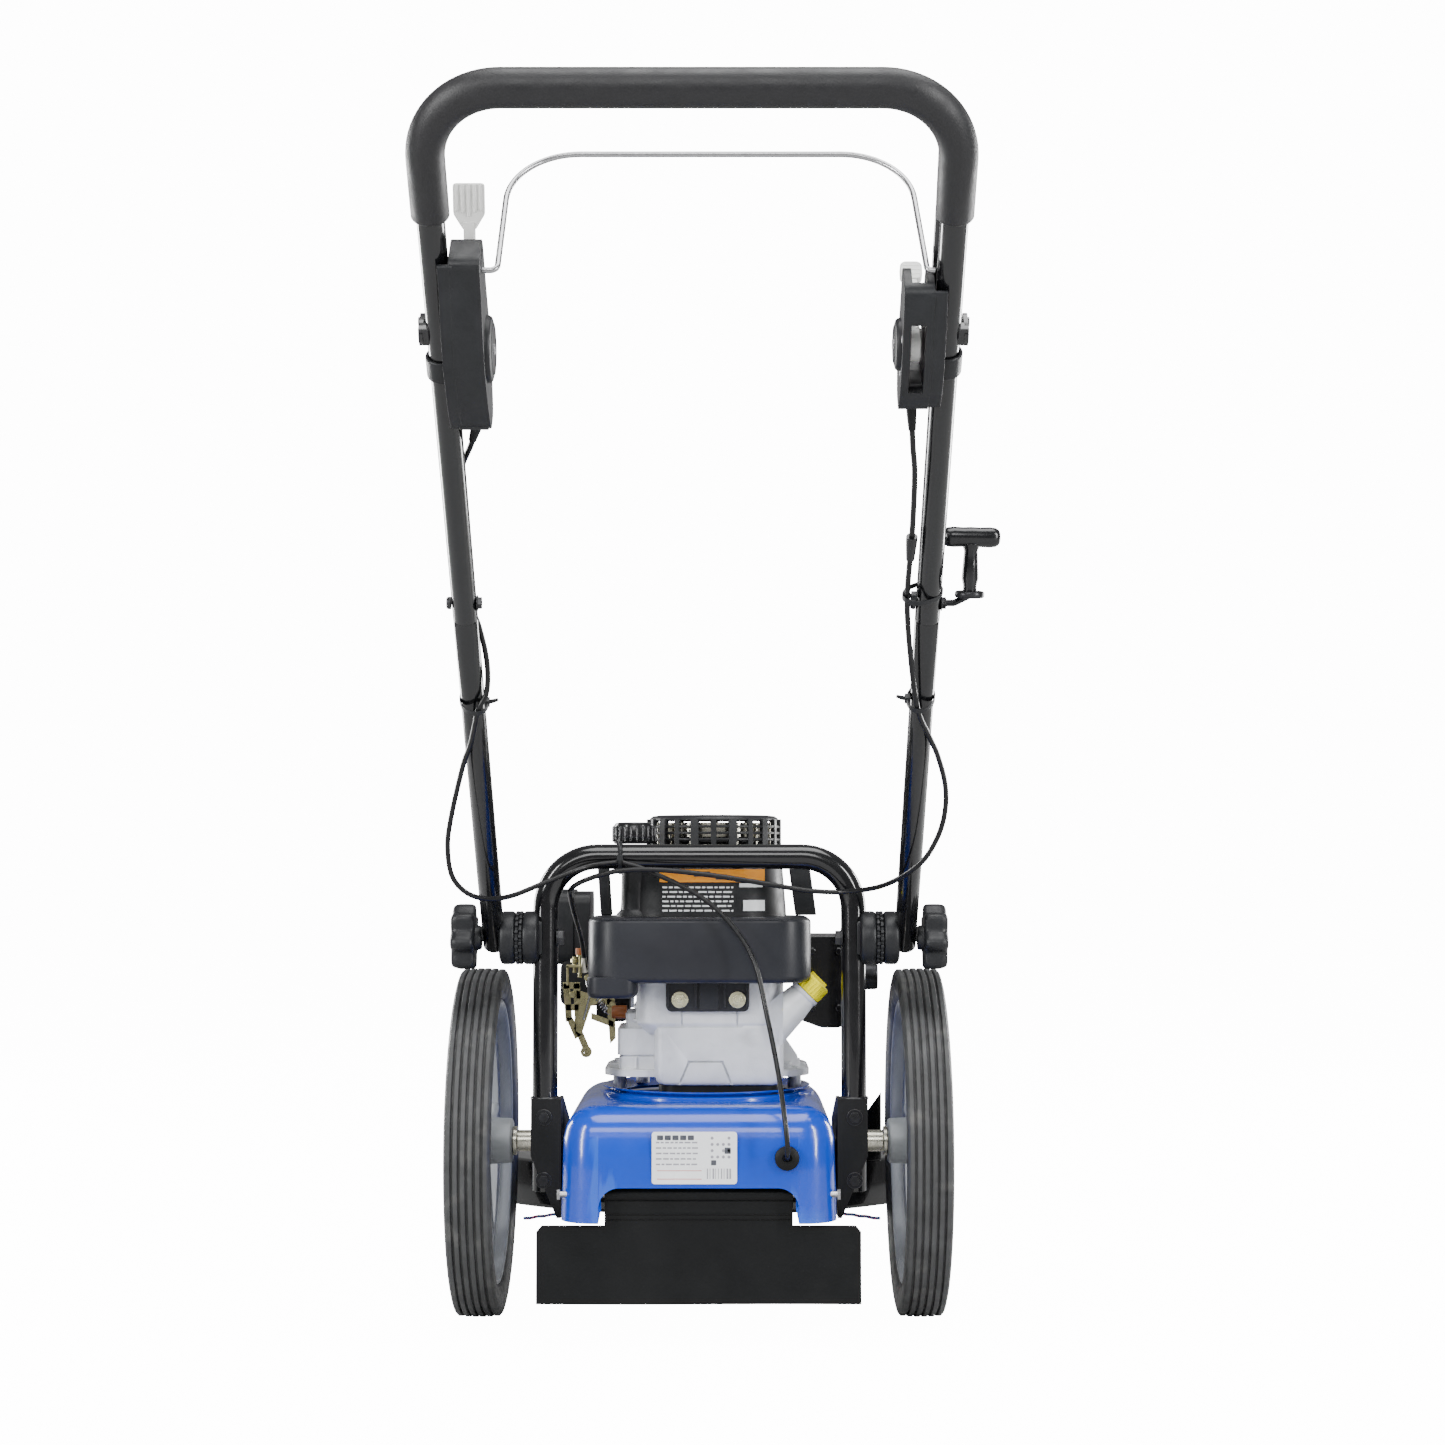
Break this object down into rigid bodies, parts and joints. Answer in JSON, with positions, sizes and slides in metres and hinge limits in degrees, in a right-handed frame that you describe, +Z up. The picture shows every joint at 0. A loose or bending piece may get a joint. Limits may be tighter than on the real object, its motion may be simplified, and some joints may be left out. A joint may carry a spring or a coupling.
{
  "type": "walk-behind wheeled string trimmer",
  "caption": "High-wheel petrol string trimmer: belt-driven line head under a shield, engine on a pressed deck, folding U handle with bails and levers.",
  "frame": {"origin": "on the ground, under the middle of the bounding box", "axes": "+Z up, +Y forward towards the cutting head, +X to the operator's right"},
  "size_m": [0.5796, 1.3983, 1.0535],
  "materials": {
    "blue_paint": "gloss enamel",
    "black_paint": "gloss powder coat",
    "black_plastic": "fine moulded grain",
    "grey_plastic": "satin moulded",
    "rubber": "matt",
    "tyre": "ribbed",
    "rim_plastic": "satin moulded",
    "foam": "soft foam",
    "cast_aluminium": "as cast",
    "zinc_plate": "zinc plated",
    "yellow_plated": "yellow passivated",
    "bright_steel": "bright drawn",
    "yellow_plastic": "gloss moulded",
    "pale_plastic": "ribbed moulded",
    "nylon_line": "drawn nylon"
  },
  "bodies": {
    "chassis": {"deck_shell": "blue_paint", "deck_grommet": "rubber", "flap_rod": "black_paint", "trimmer_shield": "black_paint", "belt_guard": "black_paint", "hoop_tube": "black_paint", "hoop_bracket_left": "black_paint", "hoop_bracket_right": "black_paint", "axle_left": "zinc_plate", "axle_right": "zinc_plate", "crankcase": "cast_aluminium", "fuel_tank": "grey_plastic", "blower_housing": "black_plastic", "recoil_cover": "black_plastic", "cylinder_block": "cast_aluminium", "cylinder_head": "cast_aluminium", "spark_plug": "black_plastic", "muffler": "black_paint", "carburettor": "cast_aluminium", "air_filter": "black_plastic", "control_bracket": "yellow_plated", "coupler_inner_left": "black_plastic", "coupler_inner_right": "black_plastic", "spindle_housing": "cast_aluminium", "drive_belt": "rubber", "engage_cable_lower": "rubber", "throttle_cable_lower": "rubber"},
    "wheel_left": {"tyre_left": "tyre", "rim_left": "rim_plastic"},
    "wheel_right": {"tyre_right": "tyre", "rim_right": "rim_plastic"},
    "crank": {"crankshaft": "bright_steel", "flywheel": "cast_aluminium"},
    "recoil_pulley": {"recoil_pulley": "black_plastic"},
    "spindle": {"spindle": "bright_steel", "trimmer_head": "black_plastic", "cutting_line": "nylon_line"},
    "mow_ball": {"mow_ball": "black_plastic"},
    "idler_arm": {"idler_arm": "bright_steel"},
    "idler_pulley": {"idler_pulley": "bright_steel"},
    "fuel_cap": {"fuel_cap": "black_plastic"},
    "oil_cap": {"oil_cap": "yellow_plastic"},
    "throttle_arm": {"throttle_arm": "yellow_plated"},
    "rear_flap": {"rear_flap": "rubber"},
    "handle": {"handle_lower_left": "black_paint", "handle_lower_right": "black_paint", "handle_upper": "black_paint", "foam_grip": "foam", "engage_housing": "black_plastic", "throttle_housing": "black_plastic", "rope_guide": "bright_steel", "engage_cable_loop": "rubber", "throttle_cable_loop": "rubber"},
    "star_knob_left": {"star_knob_left": "black_plastic"},
    "star_knob_right": {"star_knob_right": "black_plastic"},
    "wire_bail": {"wire_bail": "bright_steel"},
    "rod_bail": {"rod_bail": "black_paint"},
    "engage_lever": {"engage_lever": "pale_plastic"},
    "throttle_lever": {"throttle_lever": "pale_plastic"},
    "starter_handle": {"starter_handle": "black_plastic"}
  },
  "joints": [
    {"name": "wheel_left_spin", "type": "hinge", "parent": "chassis", "child": "wheel_left", "pos_m": [-0.225, 0.1098, 0.178], "axis": [1, 0, 0], "continuous": true},
    {"name": "wheel_right_spin", "type": "hinge", "parent": "chassis", "child": "wheel_right", "pos_m": [0.225, 0.1098, 0.178], "axis": [1, 0, 0], "continuous": true},
    {"name": "crank_spin", "type": "hinge", "parent": "chassis", "child": "crank", "pos_m": [0.014, 0.1248, 0.3], "axis": [0, 0, 1], "continuous": true},
    {"name": "recoil_spin", "type": "hinge", "parent": "chassis", "child": "recoil_pulley", "pos_m": [0.014, 0.1248, 0.482], "axis": [0, 0, 1], "range_deg": [0, 688]},
    {"name": "spindle_spin", "type": "hinge", "parent": "chassis", "child": "spindle", "pos_m": [0, 0.4998, 0.15], "axis": [0, 0, 1], "continuous": true},
    {"name": "mow_ball_spin", "type": "hinge", "parent": "spindle", "child": "mow_ball", "pos_m": [0, 0.4998, 0.02], "axis": [0, 0, 1], "continuous": true},
    {"name": "idler_swing", "type": "hinge", "parent": "chassis", "child": "idler_arm", "pos_m": [0.1, 0.1898, 0.18], "axis": [0, 0, 1], "range_deg": [0, 6]},
    {"name": "idler_pulley_spin", "type": "hinge", "parent": "idler_arm", "child": "idler_pulley", "pos_m": [0.086, 0.2998, 0.174], "axis": [0, 0, 1], "continuous": true},
    {"name": "fuel_cap_turn", "type": "hinge", "parent": "chassis", "child": "fuel_cap", "pos_m": [-0.067, 0.0648, 0.49], "axis": [0, 0, 1], "range_deg": [0, 90]},
    {"name": "oil_cap_turn", "type": "hinge", "parent": "chassis", "child": "oil_cap", "pos_m": [0.078, 0.0358, 0.306], "axis": [0.7071, 0, 0.7071], "range_deg": [0, 180]},
    {"name": "throttle_arm_swing", "type": "hinge", "parent": "chassis", "child": "throttle_arm", "pos_m": [-0.122, 0.1578, 0.318], "axis": [0, 1, 0], "range_deg": [-12, 18]},
    {"name": "flap_swing", "type": "hinge", "parent": "chassis", "child": "rear_flap", "pos_m": [0, -0.0622, 0.146], "axis": [1, 0, 0], "range_deg": [-20, 20]},
    {"name": "handle_fold", "type": "hinge", "parent": "chassis", "child": "handle", "pos_m": [0, 0.0098, 0.391], "axis": [1, 0, 0], "range_deg": [-135, 12], "deforming": ["engage_cable_loop", "throttle_cable_loop"]},
    {"name": "star_knob_left_turn", "type": "hinge", "parent": "handle", "child": "star_knob_left", "pos_m": [-0.235, 0.0098, 0.391], "axis": [-1, 0, 0], "range_deg": [0, 720]},
    {"name": "star_knob_right_turn", "type": "hinge", "parent": "handle", "child": "star_knob_right", "pos_m": [0.235, 0.0098, 0.391], "axis": [1, 0, 0], "range_deg": [0, 720]},
    {"name": "wire_bail_squeeze", "type": "hinge", "parent": "handle", "child": "wire_bail", "pos_m": [0, -0.56797, 0.92978], "axis": [1, 0, 0], "range_deg": [0, 73], "stiffness_Nm_per_rad": 0.2, "springref_deg": -34.38},
    {"name": "rod_bail_swing", "type": "hinge", "parent": "handle", "child": "rod_bail", "pos_m": [0, -0.51284, 0.90093], "axis": [-1, 0, 0], "range_deg": [0, 35]},
    {"name": "engage_lever_push", "type": "hinge", "parent": "handle", "child": "engage_lever", "pos_m": [-0.1774, -0.51804, 0.87775], "axis": [-1, 0, 0], "range_deg": [0, 45]},
    {"name": "throttle_lever_swing", "type": "hinge", "parent": "handle", "child": "throttle_lever", "pos_m": [0.1764, -0.52028, 0.88121], "axis": [1, 0, 0], "range_deg": [-20, 30]},
    {"name": "starter_pull", "type": "slide", "parent": "handle", "child": "starter_handle", "axis": [0.02, -0.1758, 0.9842], "range_m": [0, 0.6], "stiffness_N_per_m": 25, "springref_m": -0.15}
  ],
  "couplings": [
    {"joint": "spindle_spin", "follows": "crank_spin", "ratio": 0.7083},
    {"joint": "idler_pulley_spin", "follows": "crank_spin", "ratio": -2},
    {"joint": "idler_swing", "follows": "engage_lever_push", "ratio": 0.133},
    {"joint": "throttle_arm_swing", "follows": "throttle_lever_swing", "ratio": 0.6},
    {"joint": "recoil_spin", "follows": "starter_pull", "rad_per_m": 20}
  ]
}
